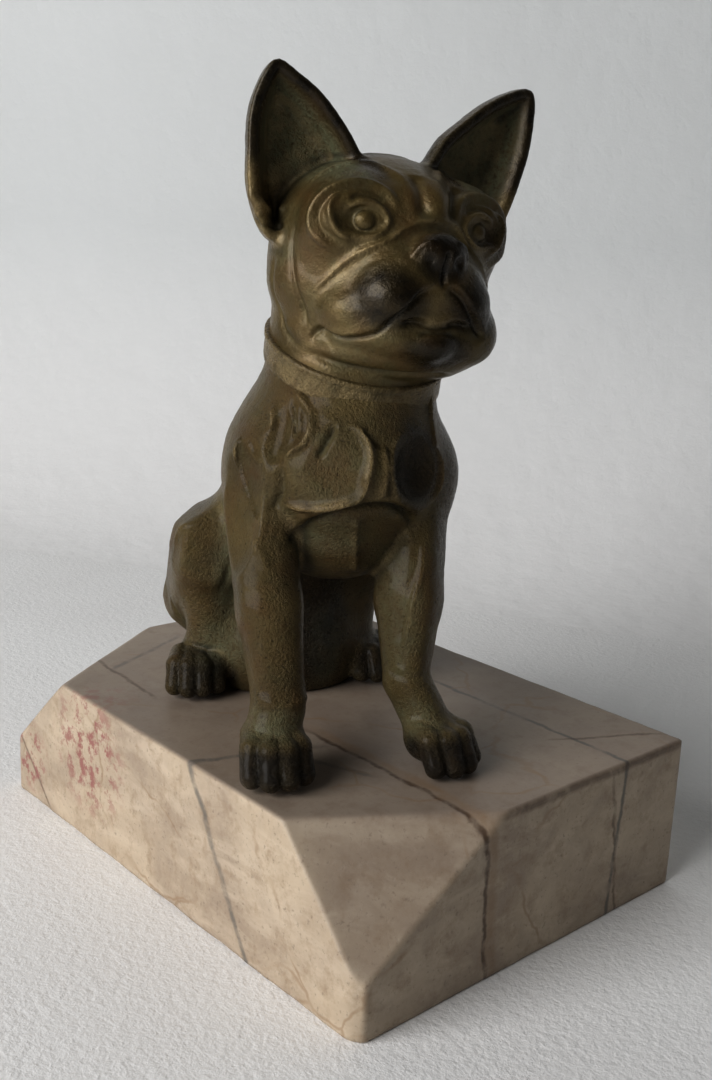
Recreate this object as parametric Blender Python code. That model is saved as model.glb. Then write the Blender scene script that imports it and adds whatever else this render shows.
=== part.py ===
"""Seated French bulldog: two bronze castings, joined at a collar, bolted to a marble block.

The origin is under the middle of the block, on the surface it stands on. +Z is up and the
block's long side runs along Y. The dog faces -Y, turned towards -X. The dog's forms are given
in its own frame: x to the dog's left, y towards its tail, z up from the block's top.
"""
from math import cos, pi, radians, sin

import bmesh
import bpy
from mathutils import Euler, Matrix, Vector

# The block. Two of its top corners are cut off by sloping triangles.
BLOCK_WIDTH = 0.0796
BLOCK_LENGTH = 0.1117
BLOCK_HEIGHT = 0.0297
BLOCK_EDGE_BEVEL = 0.0004
FRONT_CUT = {"along_x": 0.0310, "along_y": 0.0198, "foot_z": 0.0107}
BACK_CUT = {"along_x": 0.0333, "along_y": 0.0214, "foot_z": 0.0116}
CORNER_FLAT_X = 0.0014
CORNER_FLAT_Y = 0.0022

# Where the dog stands on the block.
GAP = 0.0003
DOG_PLACE = Vector((-0.0068, -0.0018, BLOCK_HEIGHT + GAP))
DOG_TURN = radians(-22)

# The trunk: centre, radii and pitch of each rounded mass.
TRUNK = {
    "chest": ((0.0008, -0.0120, 0.0495), (0.0196, 0.0200, 0.0150), -6),
    "brisket": ((0.0005, -0.0120, 0.0420), (0.0180, 0.0150, 0.0130), 0),
    "belly": ((-0.0010, 0.0185, 0.0110), (0.0150, 0.0115, 0.0140), 0),
    "seat": ((-0.0010, 0.0270, 0.0100), (0.0165, 0.0150, 0.0125), 0),
}
BACK = {"start": (0.0002, -0.0020, 0.0520), "end": (-0.0010, 0.0240, 0.0210), "radii": (0.0155, 0.0168)}
NECK = {"start": (0.0022, -0.0110, 0.0580), "end": (0.0042, -0.0120, 0.0740), "radii": (0.0145, 0.0138)}

# The limbs: each bone is a taper from one round end to the next.
FORELEGS = {
    "right": {
        "shoulder": ((-0.0148, -0.0160, 0.0420), 0.0064),
        "elbow": ((-0.0150, -0.0230, 0.0260), 0.0051),
        "wrist": ((-0.0133, -0.0290, 0.0090), 0.0043),
        "paw": ((-0.0156, -0.0310, 0.0042), (0.0058, 0.0070, 0.0052)),
    },
    "left": {
        "shoulder": ((0.0145, -0.0170, 0.0420), 0.0062),
        "elbow": ((0.0135, -0.0230, 0.0240), 0.0050),
        "wrist": ((0.0120, -0.0290, 0.0090), 0.0038),
        "paw": ((0.0142, -0.0322, 0.0042), (0.0059, 0.0070, 0.0048)),
    },
}
HIND_CENTRE_X = -0.0010
KNEE = {"x": 0.0155, "y": 0.0140, "z": 0.0270, "radius": 0.0084}
HIP = {"x": 0.0125, "y": 0.0270, "z": 0.0180, "radius": 0.0097}
HOCK = {"x": 0.0155, "y": 0.0150, "z": 0.0130, "radius": 0.0068}
HIND_PAW = {"x": 0.0185, "y": 0.0155, "z": 0.0043, "radii": (0.0054, 0.0095, 0.0054), "yaw": 8}

# The head, in its own frame: x left, y back, z up from the middle of the skull.
HEAD_CENTRE = Vector((0.0068, -0.0140, 0.0856))
HEAD_TILT = radians(3)
HEAD_YAW = radians(7)
SKULL = {
    "cranium": ((0.0, 0.0025, 0.0025), (0.0186, 0.0175, 0.0145)),
    "cheeks": ((0.0, 0.0010, -0.0060), (0.0194, 0.0155, 0.0115)),
    "muzzle": ((0.0, -0.0115, -0.0045), (0.0118, 0.0090, 0.0080)),
    "chin": ((0.0004, -0.0085, -0.0140), (0.0130, 0.0118, 0.0054)),
    "nose": ((0.0002, -0.0172, 0.0002), (0.0046, 0.0036, 0.0034)),
}
SKULL_PAIRS = {
    "brow": ((0.0088, -0.0095, 0.0050), (0.0073, 0.0061, 0.0070)),
    "jowl": ((0.0080, -0.0118, -0.0088), (0.0086, 0.0078, 0.0062)),
}
EAR_RIGHT = (
    (-0.0200, 0.0005), (-0.0242, 0.0065), (-0.0251, 0.0135), (-0.0249, 0.0210), (-0.0219, 0.0274),
    (-0.0179, 0.0262), (-0.0126, 0.0226), (-0.0074, 0.0166), (-0.0060, 0.0060),
)
EAR_LEFT = (
    (0.0060, 0.0060), (0.0080, 0.0182), (0.0134, 0.0232), (0.0190, 0.0272), (0.0254, 0.0298),
    (0.0277, 0.0280), (0.0278, 0.0205), (0.0260, 0.0130), (0.0232, 0.0060), (0.0195, 0.0005),
)
EAR_FRONT_Y = 0.0008
EAR_THICKNESS = 0.0052
EAR_TURN = radians(8)
EAR_HINGE_X = 0.0140
EAR_HOLLOW = ((0.0, -0.0004, 0.0165), (0.0052, 0.0030, 0.0100))

# The sleeve joint between head and body, and the collar round it.
JOINT_CENTRE = Vector((0.0030, -0.0120, 0.0663))
JOINT_NORMAL = Vector((0.161, -0.251, 1.0)).normalized()
SPIGOT_RADIUS = 0.0085
SPIGOT_LENGTH = 0.0050
COLLAR_INNER_RADIUS = 0.0132
COLLAR_OUTER_RADIUS = 0.0150
COLLAR_HEIGHT = 0.0046
COLLAR_BEVEL = 0.0004
PIN_RADIUS = 0.0008
PIN_DROP = 0.0012
PIN_INNER_END = 0.0060
PIN_DIRECTION = Vector((-0.97, 0.24, 0.0))

# The cores that leave both castings hollow. They meet through the neck.
BODY_CORE = {
    "chest": ((0.0008, -0.0120, 0.0500), (0.0155, 0.0155, 0.0120), -6),
    "back": ((-0.0004, 0.0090, 0.0380), (0.0115, 0.0105, 0.0185), 38),
    "rump": ((-0.0010, 0.0240, 0.0240), (0.0125, 0.0120, 0.0095), 0),
}
HEAD_CORE = ((0.0, 0.0020, 0.0005), (0.0140, 0.0125, 0.0110))
SPIGOT_BORE = 0.0052
SPIGOT_BORE_TOP = 0.0140

# The fixings: one stud in each forepaw and a thicker one in the rump.
M3 = {"stud": 0.0015, "hole": 0.0020, "washer": 0.0035, "nut": 0.00275, "nut_height": 0.0024,
      "washer_height": 0.0005, "recess": 0.0045}
M4 = {"stud": 0.0020, "hole": 0.0026, "washer": 0.0045, "nut": 0.00350, "nut_height": 0.0032,
      "washer_height": 0.0008, "recess": 0.0060}
RECESS_DEPTH = 0.0100
STUD_FOOT_Z = 0.0045
FIXINGS = {
    "right_paw": {"x": -0.0153, "y": -0.0300, "reach": 0.0060, "size": M3},
    "left_paw": {"x": 0.0138, "y": -0.0312, "reach": 0.0060, "size": M3},
    "rump": {"x": -0.0010, "y": 0.0250, "reach": 0.0100, "size": M4},
}

VOXEL_BODY = 0.0022
VOXEL_HEAD = 0.0017
VOXEL_CORE = 0.0035
TRIANGLES_KEPT = 0.45
BALL_DETAIL = 3
ROUND_SIDES = 48
SMALL_SIDES = 20

DOG_FRAME = Matrix.Translation(DOG_PLACE) @ Matrix.Rotation(DOG_TURN, 4, "Z")
HEAD_FRAME = DOG_FRAME @ Matrix.Translation(HEAD_CENTRE) @ Euler((0, HEAD_TILT, HEAD_YAW)).to_matrix().to_4x4()
JOINT_FRAME = DOG_FRAME @ Matrix.Translation(JOINT_CENTRE) @ JOINT_NORMAL.to_track_quat("Z", "Y").to_matrix().to_4x4()


# Materials ---------------------------------------------------------------------------------

def plain_material(name, colour, roughness, metallic):
    material = bpy.data.materials.new(name)
    material.use_nodes = True
    shader = material.node_tree.nodes["Principled BSDF"]
    shader.inputs["Base Color"].default_value = (*colour, 1.0)
    shader.inputs["Roughness"].default_value = roughness
    shader.inputs["Metallic"].default_value = metallic
    material.diffuse_color = (*colour, 1.0)
    return material


# Objects and modifiers ---------------------------------------------------------------------

def make_object(name, shape, material=None):
    """Turn a bmesh into an object, and empty the bmesh."""
    bmesh.ops.recalc_face_normals(shape, faces=shape.faces)
    mesh = bpy.data.meshes.new(name)
    shape.to_mesh(mesh)
    shape.free()
    made = bpy.data.objects.new(name, mesh)
    bpy.context.collection.objects.link(made)
    if material:
        mesh.materials.append(material)
    return made


def make_cutter(name, shape):
    made = make_object(name, shape)
    made.hide_render = True
    made.display_type = "WIRE"
    return made


def boolean(target, other, operation="DIFFERENCE"):
    modifier = target.modifiers.new(operation.lower() + "_" + other.name, "BOOLEAN")
    modifier.object = other
    modifier.operation = operation
    modifier.solver = "EXACT"


def melt(target, voxel_size):
    """Melt overlapping masses into one skin."""
    remesh = target.modifiers.new("melt", "REMESH")
    remesh.mode = "VOXEL"
    remesh.voxel_size = voxel_size


def fuse(target, voxel_size):
    """Melt the masses, soften the skin and drop the triangles it can spare."""
    melt(target, voxel_size)
    smooth = target.modifiers.new("soften", "SMOOTH")
    smooth.factor = 0.5
    smooth.iterations = 3
    decimate = target.modifiers.new("lighten", "DECIMATE")
    decimate.ratio = TRIANGLES_KEPT


# Building blocks ---------------------------------------------------------------------------

def ball_matrix(centre, radii, pitch=0, yaw=0):
    turn = Euler((radians(pitch), 0, radians(yaw))).to_matrix().to_4x4()
    return Matrix.Translation(Vector(centre)) @ turn @ Matrix.Diagonal((*radii, 1.0))


def add_ball(shape, frame, centre, radii, pitch=0, yaw=0):
    matrix = frame @ ball_matrix(centre, radii, pitch, yaw)
    bmesh.ops.create_icosphere(shape, subdivisions=BALL_DETAIL, radius=1.0, matrix=matrix)


def add_limb(shape, frame, start, end, start_radius, end_radius):
    """A taper with round ends: the convex hull of two spheres."""
    hull = bmesh.new()
    add_ball(hull, frame, start, (start_radius,) * 3)
    add_ball(hull, frame, end, (end_radius,) * 3)
    result = bmesh.ops.convex_hull(hull, input=hull.verts)
    spare = {item for item in result["geom_interior"] + result["geom_unused"]}
    bmesh.ops.delete(hull, geom=[v for v in spare if isinstance(v, bmesh.types.BMVert)], context="VERTS")
    carrier = bpy.data.meshes.new("hull")
    hull.to_mesh(carrier)
    hull.free()
    shape.from_mesh(carrier)
    bpy.data.meshes.remove(carrier)


def add_plate(shape, frame, outline, front, back):
    """A flat plate cut to an outline in the frame's XZ plane."""
    face = shape.faces.new([shape.verts.new((x, front, z)) for x, z in outline])
    grown = bmesh.ops.extrude_face_region(shape, geom=[face])
    moved = [item for item in grown["geom"] if isinstance(item, bmesh.types.BMVert)]
    bmesh.ops.translate(shape, verts=moved, vec=(0, back - front, 0))
    corners = list(face.verts) + moved
    bmesh.ops.transform(shape, matrix=frame, verts=corners)


def add_cylinder(shape, frame, radius, bottom, top, sides=ROUND_SIDES):
    matrix = frame @ Matrix.Translation((0, 0, (bottom + top) / 2))
    bmesh.ops.create_cone(shape, cap_ends=True, segments=sides, radius1=radius, radius2=radius,
                          depth=top - bottom, matrix=matrix)


def add_tube(shape, frame, inner, outer, bottom, top, sides):
    """A ring: one rectangle spun round the frame's Z axis."""
    corners = ((inner, bottom), (outer, bottom), (outer, top), (inner, top))
    loop = [shape.verts.new((radius, 0, height)) for radius, height in corners]
    edges = [shape.edges.new((loop[i], loop[(i + 1) % 4])) for i in range(4)]
    bmesh.ops.spin(shape, geom=loop + edges, axis=(0, 0, 1), cent=(0, 0, 0), steps=sides,
                   angle=2 * pi, use_merge=True)
    bmesh.ops.transform(shape, matrix=frame, verts=shape.verts)


def add_box(shape, frame, half_size, bottom, top):
    size = Matrix.Diagonal((2 * half_size, 2 * half_size, top - bottom, 1.0))
    matrix = frame @ Matrix.Translation((0, 0, (bottom + top) / 2)) @ size
    bmesh.ops.create_cube(shape, size=1.0, matrix=matrix)


# The block ---------------------------------------------------------------------------------

def block_corners():
    """Corner points of the block. Its cut corners are both on the -X side."""
    half_x = BLOCK_WIDTH / 2
    half_y = BLOCK_LENGTH / 2
    points = [Vector((half_x, side * half_y, z)) for side in (-1, 1) for z in (0, BLOCK_HEIGHT)]
    for side, cut in ((-1, FRONT_CUT), (1, BACK_CUT)):
        end = side * half_y
        points.append(Vector((cut["along_x"] - half_x, end, BLOCK_HEIGHT)))
        points.append(Vector((-half_x, end - side * cut["along_y"], BLOCK_HEIGHT)))
        for z in (0, cut["foot_z"]):
            points.append(Vector((CORNER_FLAT_X - half_x, end, z)))
            points.append(Vector((-half_x, end - side * CORNER_FLAT_Y, z)))
    return points


def build_block(material):
    shape = bmesh.new()
    for point in block_corners():
        shape.verts.new(point)
    bmesh.ops.convex_hull(shape, input=shape.verts)
    bmesh.ops.dissolve_limit(shape, angle_limit=radians(1), verts=shape.verts, edges=shape.edges)
    bmesh.ops.bevel(shape, geom=shape.edges, offset=BLOCK_EDGE_BEVEL, segments=1, affect="EDGES")
    block = make_object("marble_base", shape, material)
    for name, fixing in FIXINGS.items():
        size = fixing["size"]
        frame = fixing_frame(fixing)
        hole = bmesh.new()
        add_cylinder(hole, frame, size["hole"], -0.001, BLOCK_HEIGHT + 0.001, SMALL_SIDES)
        boolean(block, make_cutter("cut_stud_hole_" + name, hole))
        recess = bmesh.new()
        add_cylinder(recess, frame, size["recess"], -0.001, RECESS_DEPTH, SMALL_SIDES)
        boolean(block, make_cutter("cut_nut_recess_" + name, recess))
    return block


# The castings ------------------------------------------------------------------------------

def add_foreleg(shape, bones):
    order = ("shoulder", "elbow", "wrist")
    for upper, lower in zip(order, order[1:]):
        (start, start_radius), (end, end_radius) = bones[upper], bones[lower]
        add_limb(shape, DOG_FRAME, start, end, start_radius, end_radius)
    centre, radii = bones["paw"]
    add_ball(shape, DOG_FRAME, centre, radii)
    wrist, wrist_radius = bones["wrist"]
    add_limb(shape, DOG_FRAME, wrist, centre, wrist_radius, wrist_radius)


def add_hind_leg(shape, side):
    def place(bone):
        return (HIND_CENTRE_X + side * bone["x"], bone["y"], bone["z"])
    add_limb(shape, DOG_FRAME, place(KNEE), place(HIP), KNEE["radius"], HIP["radius"])
    add_limb(shape, DOG_FRAME, place(KNEE), place(HOCK), KNEE["radius"], HOCK["radius"])
    add_ball(shape, DOG_FRAME, place(HIND_PAW), HIND_PAW["radii"], yaw=side * HIND_PAW["yaw"])


def build_body(material):
    shape = bmesh.new()
    for centre, radii, pitch in TRUNK.values():
        add_ball(shape, DOG_FRAME, centre, radii, pitch)
    for part in (BACK, NECK):
        add_limb(shape, DOG_FRAME, part["start"], part["end"], *part["radii"])
    for bones in FORELEGS.values():
        add_foreleg(shape, bones)
    for side in (-1, 1):
        add_hind_leg(shape, side)
    body = make_object("body_casting", shape, material)
    fuse(body, VOXEL_BODY)
    for cutter in body_cutters():
        boolean(body, cutter)
    return body


def body_cutters():
    """What is taken off the body: ground, neck above the joint, socket, core and fixing holes."""
    ground = bmesh.new()
    add_box(ground, DOG_FRAME, 0.08, -0.02, 0.0)
    above = bmesh.new()
    add_box(above, JOINT_FRAME, 0.03, -GAP / 2, 0.03)
    socket = bmesh.new()
    add_cylinder(socket, JOINT_FRAME, SPIGOT_RADIUS + GAP, -SPIGOT_LENGTH - 0.004, 0.001)
    core = bmesh.new()
    for centre, radii, pitch in BODY_CORE.values():
        add_ball(core, DOG_FRAME, centre, radii, pitch)
    core_cutter = make_cutter("cut_core", core)
    melt(core_cutter, VOXEL_CORE)
    cutters = [make_cutter("cut_ground", ground), make_cutter("cut_above_joint", above), core_cutter,
               make_cutter("cut_socket", socket), groove_cutter(), pin_hole_cutter()]
    for name, fixing in FIXINGS.items():
        hole = bmesh.new()
        radius = fixing["size"]["stud"] + GAP
        top = DOG_PLACE.z + fixing["reach"] + GAP
        add_cylinder(hole, fixing_frame(fixing), radius, BLOCK_HEIGHT - 0.001, top, SMALL_SIDES)
        cutters.append(make_cutter("cut_stud_seat_" + name, hole))
    return cutters


def add_ear(shape, side, outline):
    local = [(x - side * EAR_HINGE_X, z) for x, z in outline]
    add_plate(shape, ear_frame(side), local, EAR_FRONT_Y, EAR_FRONT_Y + EAR_THICKNESS)


def ear_frame(side):
    """The frame of an ear's plate, turned so that the ear opens a little outwards."""
    return HEAD_FRAME @ Matrix.Translation((side * EAR_HINGE_X, 0, 0)) @ Matrix.Rotation(side * EAR_TURN, 4, "Z")


def build_head(material):
    shape = bmesh.new()
    for centre, radii in SKULL.values():
        add_ball(shape, HEAD_FRAME, centre, radii)
    for (x, y, z), radii in SKULL_PAIRS.values():
        for side in (-1, 1):
            add_ball(shape, HEAD_FRAME, (side * x, y, z), radii)
    add_limb(shape, DOG_FRAME, NECK["start"], NECK["end"], *NECK["radii"])
    add_ear(shape, -1, EAR_RIGHT)
    add_ear(shape, 1, EAR_LEFT)
    head = make_object("head_casting", shape, material)
    fuse(head, VOXEL_HEAD)
    below = bmesh.new()
    add_box(below, JOINT_FRAME, 0.03, -0.03, GAP / 2)
    boolean(head, make_cutter("cut_below_joint", below))
    boolean(head, groove_cutter())
    centre, radii = EAR_HOLLOW
    for side in (-1, 1):
        hollow = bmesh.new()
        add_ball(hollow, ear_frame(side), (side * 0.004, centre[1], centre[2]), radii)
        boolean(head, make_cutter("cut_ear_hollow", hollow))
    spigot = bmesh.new()
    add_cylinder(spigot, JOINT_FRAME, SPIGOT_RADIUS, -SPIGOT_LENGTH, 0.004)
    boolean(head, make_cutter("join_spigot", spigot), "UNION")
    boolean(head, make_cutter("cut_head_core", head_core()))
    boolean(head, make_cutter("cut_spigot_bore", spigot_bore()))
    boolean(head, pin_hole_cutter())
    return head


def head_core():
    shape = bmesh.new()
    centre, radii = HEAD_CORE
    add_ball(shape, HEAD_FRAME, centre, radii)
    return shape


def spigot_bore():
    shape = bmesh.new()
    add_cylinder(shape, JOINT_FRAME, SPIGOT_BORE, -SPIGOT_LENGTH - 0.001, SPIGOT_BORE_TOP, SMALL_SIDES)
    return shape


# The collar and its pin --------------------------------------------------------------------

def groove_cutter():
    """The shallow groove turned round the neck, which the collar fills."""
    shape = bmesh.new()
    half = COLLAR_HEIGHT / 2 + GAP
    add_tube(shape, JOINT_FRAME, COLLAR_INNER_RADIUS - GAP, 0.024, -half, half, ROUND_SIDES)
    return make_cutter("cut_collar_groove", shape)


def build_collar(material):
    shape = bmesh.new()
    half = COLLAR_HEIGHT / 2
    add_tube(shape, JOINT_FRAME, COLLAR_INNER_RADIUS, COLLAR_OUTER_RADIUS, -half, half, ROUND_SIDES)
    collar = make_object("collar_band", shape, material)
    bevel = collar.modifiers.new("edges", "BEVEL")
    bevel.width = COLLAR_BEVEL
    bevel.segments = 1
    bevel.limit_method = "ANGLE"
    boolean(collar, pin_hole_cutter())
    return collar


def pin_frame():
    """Z points out of the neck, along the pin."""
    outward = (DOG_FRAME.to_3x3() @ PIN_DIRECTION)
    normal = JOINT_FRAME.to_3x3() @ Vector((0, 0, 1))
    outward = (outward - normal * outward.dot(normal)).normalized()
    across = normal.cross(outward)
    turn = Matrix((normal, across, outward)).transposed().to_4x4()
    start = JOINT_FRAME.translation - normal * PIN_DROP
    return Matrix.Translation(start) @ turn


def pin_hole_cutter():
    shape = bmesh.new()
    add_cylinder(shape, pin_frame(), PIN_RADIUS + GAP, PIN_INNER_END - GAP, 0.020, SMALL_SIDES)
    return make_cutter("cut_pin_hole", shape)


def build_pin(material):
    shape = bmesh.new()
    add_cylinder(shape, pin_frame(), PIN_RADIUS, PIN_INNER_END, COLLAR_OUTER_RADIUS, SMALL_SIDES)
    return make_object("neck_pin", shape, material)


# The fixings -------------------------------------------------------------------------------

def fixing_frame(fixing):
    """An upright frame on the surface the block stands on, under the fixing."""
    place = DOG_FRAME @ Vector((fixing["x"], fixing["y"], 0))
    return Matrix.Translation((place.x, place.y, 0))


def build_fixings(material):
    for name, fixing in FIXINGS.items():
        size = fixing["size"]
        frame = fixing_frame(fixing)
        stud = bmesh.new()
        add_cylinder(stud, frame, size["stud"], STUD_FOOT_Z, DOG_PLACE.z + fixing["reach"], SMALL_SIDES)
        make_object("stud_" + name, stud, material)
        washer_top = RECESS_DEPTH - GAP
        washer_bottom = washer_top - size["washer_height"]
        washer = bmesh.new()
        add_tube(washer, frame, size["stud"] + GAP, size["washer"], washer_bottom, washer_top, SMALL_SIDES)
        make_object("washer_" + name, washer, material)
        nut_top = washer_bottom - GAP
        build_nut("nut_" + name, frame, size, nut_top - size["nut_height"], nut_top, material)


def build_nut(name, frame, size, bottom, top, material):
    """A hexagon with a round bore, its corners at the across-flats size over cos 30."""
    shape = bmesh.new()
    add_cylinder(shape, frame, size["nut"] / cos(pi / 6), bottom, top, 6)
    nut = make_object(name, shape, material)
    bore = bmesh.new()
    add_cylinder(bore, frame, size["stud"] + GAP, bottom - 0.001, top + 0.001, SMALL_SIDES)
    boolean(nut, make_cutter("cut_bore_" + name, bore))


# The whole part ----------------------------------------------------------------------------

def main():
    for old in list(bpy.data.objects):
        bpy.data.objects.remove(old)
    bronze = plain_material("bronze", (0.13, 0.10, 0.05), 0.45, 0.8)
    marble = plain_material("marble", (0.42, 0.35, 0.28), 0.5, 0.0)
    steel = plain_material("steel", (0.45, 0.45, 0.44), 0.4, 1.0)
    build_block(marble)
    build_body(bronze)
    build_head(bronze)
    build_collar(bronze)
    build_pin(bronze)
    build_fixings(steel)


main()
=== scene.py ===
"""Looks for the seated bulldog: worn, patinated bronze castings on a veined marble block.

The castings are modelled as distance fields, skinned to fine meshes, and finished with modelled
lines. Their forms are in millimetres in the dog's own frame: x to the dog's left, y towards its
tail, z up from the block. Everything else is in metres in the frame of the CAD parts.
"""
from math import ceil, cos, pi, radians, sin, sqrt

import bpy
import numpy as np
from mathutils import Euler, Matrix, Vector


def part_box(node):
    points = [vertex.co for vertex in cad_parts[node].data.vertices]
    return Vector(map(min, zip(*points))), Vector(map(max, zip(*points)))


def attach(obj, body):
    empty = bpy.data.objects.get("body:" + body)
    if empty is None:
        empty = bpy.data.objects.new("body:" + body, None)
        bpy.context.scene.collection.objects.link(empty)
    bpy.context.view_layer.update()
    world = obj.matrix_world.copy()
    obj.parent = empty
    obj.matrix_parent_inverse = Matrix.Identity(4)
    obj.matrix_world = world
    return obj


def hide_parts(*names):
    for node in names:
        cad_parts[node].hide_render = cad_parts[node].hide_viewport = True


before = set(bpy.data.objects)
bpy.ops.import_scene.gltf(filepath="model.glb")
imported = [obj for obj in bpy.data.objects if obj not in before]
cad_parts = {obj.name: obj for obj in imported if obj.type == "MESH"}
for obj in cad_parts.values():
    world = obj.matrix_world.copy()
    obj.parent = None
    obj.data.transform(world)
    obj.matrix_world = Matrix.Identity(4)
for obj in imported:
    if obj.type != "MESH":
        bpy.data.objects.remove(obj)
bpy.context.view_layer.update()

MM = 0.001
BLOCK_LOW, BLOCK_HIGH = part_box("marble_base")
BLOCK_TOP = BLOCK_HIGH.z
DOG_PLACE = Vector((-0.0068, -0.0018, BLOCK_TOP + 0.0003))
DOG_TURN = radians(-22)
DETAIL = 1
HEAD_STEP = 0.32 * DETAIL
BODY_STEP = 0.4 * DETAIL
BLOCK_STEP = 0.5 * DETAIL

# The head, in its own frame: x to the dog's left, y back, z up from the middle of the skull.
# A mass is its centre and radii. What comes in pairs is given for the left side.
HEAD_CENTRE = np.array([6.8, -14, 85.6])
HEAD_TURN = np.array(Euler((0, radians(3), radians(7))).to_matrix())
CRANIUM = ((0, 3, 2), (18.6, 16.5, 13.6))
CHEEKS = ((0, 1.5, -6), (19.4, 14.5, 11.5))
FOREHEAD = ((0.4, -6.5, 6), (6.6, 7.8, 6))
BROWS = ((9.8, -5.8, 4), (8.4, 6.6, 8))
MUZZLE = ((0, -11.5, -4.5), (11.5, 8.5, 8))
PADS = ((5.6, -14, -6.9), (6, 5.8, 5.4))
LIPS = ((8.2, -9.8, -9.4), (7, 6.2, 4.8), 30)
JOWL_LEFT = ((9.2, -13, -12.2), (4.9, 4.7, 4.4))
JAW = ((1, -6.8, -13.2), (14.4, 12.8, 5.6))
DEWLAP = ((0, -5, -16.4), (13.4, 11, 4.6))
CHIN = ((0.4, -17.2, -13.4), (3.6, 3.4, 3.1))
NOSE = ((0.2, -17.2, 0.2), (4.6, 3.4, 3.4))
EYE = ((10, -10.9, 4.2), (1.95, 1.95, 1.8))
EYE_SOCKET = ((10.2, -12.5, 4.3), (0.5, -0.86, 0.08), (3.5, 2.6), 0.8)
NOSTRIL = ((2.7, -20.2, -1), (0.6, -0.8, -0.1), (1.2, 1.3), 0.9, 2)
EAR_RIGHT = ((-20.2, 0), (-24.2, 6.5), (-25.1, 13.5), (-24.9, 21), (-21.9, 27.4), (-17.9, 26.2),
             (-12.6, 22.6), (-7.4, 16.6), (-4.5, 10), (-12, 2))
EAR_LEFT = ((12, 2), (5, 10), (8, 18.2), (13.4, 23.2), (19, 27.2), (25.4, 29.8), (27.7, 28),
            (27.8, 20.5), (26, 13), (23.2, 6), (19.5, 0.5))
EAR_HINGE_X = 14
EAR_OUTWARD = 8
RELIEF = 1.35

# The body, in the dog's frame: x to its left, y back, z up from the block.
CHEST = ((0.8, -12, 49.5), (18, 19, 15))
BRISKET = ((0.2, -11.8, 40), (14, 13.5, 11))
SHOULDER_RIGHT = ((-12.5, -10.5, 47), (7, 11.5, 12))
SHOULDER_LEFT = ((14.4, -11.5, 47.5), (8, 11, 10.5))
BACK = ((0.4, -2, 52), (0, 24, 21), 15.2, 15.4)
BELLY = ((0, 17, 8), (17.5, 13, 15))
SEAT = ((-1, 27, 10), (16, 14.5, 12.5))
TAIL = ((-1, 38, 11), (-0.4, 42.5, 7.5), 3.6, 2)
NECK = ((1.8, -11, 58), (3.4, -12, 76), 14.8, 15)
RIGHT_LEG = {"shoulder": ((-14.6, -16, 42), 6.6), "elbow": ((-14.2, -22.3, 27), 6.3),
             "wrist": ((-13.6, -27.3, 12.5), 5), "paw": ((-15.3, -30.3, 4.6), -4, 1),
             "faces": ((0.95, -0.25, 0), (-0.95, 0.1, 0))}
LEFT_LEG = {"shoulder": ((12.6, -17, 42), 6.9), "elbow": ((11.1, -22.3, 27), 6.2),
            "wrist": ((9.5, -26.8, 14), 4.1), "paw": ((13.2, -32, 4.2), 24, 0.98),
            "faces": ((-0.78, -0.62, 0.05), (0.75, -0.66, 0), (0.9, 0.4, 0))}
HIND_X = -1
KNEE = ((14.6, 14.6, 28.6), 9.8)
HIP = ((12.2, 26.6, 17.6), 10.8)
HOCK = ((14, 15.5, 10.5), 5.2)
THIGH_FACES = ((0.25, -0.95, 0.1), (0.98, -0.1, 0.1), (0.5, 0.1, 0.85), (0.75, 0.6, 0.3))
HIND_PAW = ((18.3, 12.6, 4.3), 10, 0.94)

# Hollows in the body: where, which way the skin faces, half-size, depth.
BODY_HOLLOWS = (
    ((-7.2, -29, 52), (-0.38, -0.92, 0.08), (7.6, 7.4), 1.1),
    ((8.8, -28.4, 51.6), (0.4, -0.91, 0.02), (5.2, 6.6), 1.9),
    ((-12.6, -20.6, 58), (-0.7, -0.66, 0.25), (2, 5.4), 0.8),
    ((-9.6, -23.2, 60.2), (-0.5, -0.8, 0.3), (1.8, 4.6), 0.7),
    ((-17.6, -16.5, 48.5), (-0.9, -0.4, 0.05), (4.4, 7), 0.5),
    ((-14.5, -23.6, 49), (-0.55, -0.83, 0), (1.8, 4.6), 0.5),
)

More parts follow.
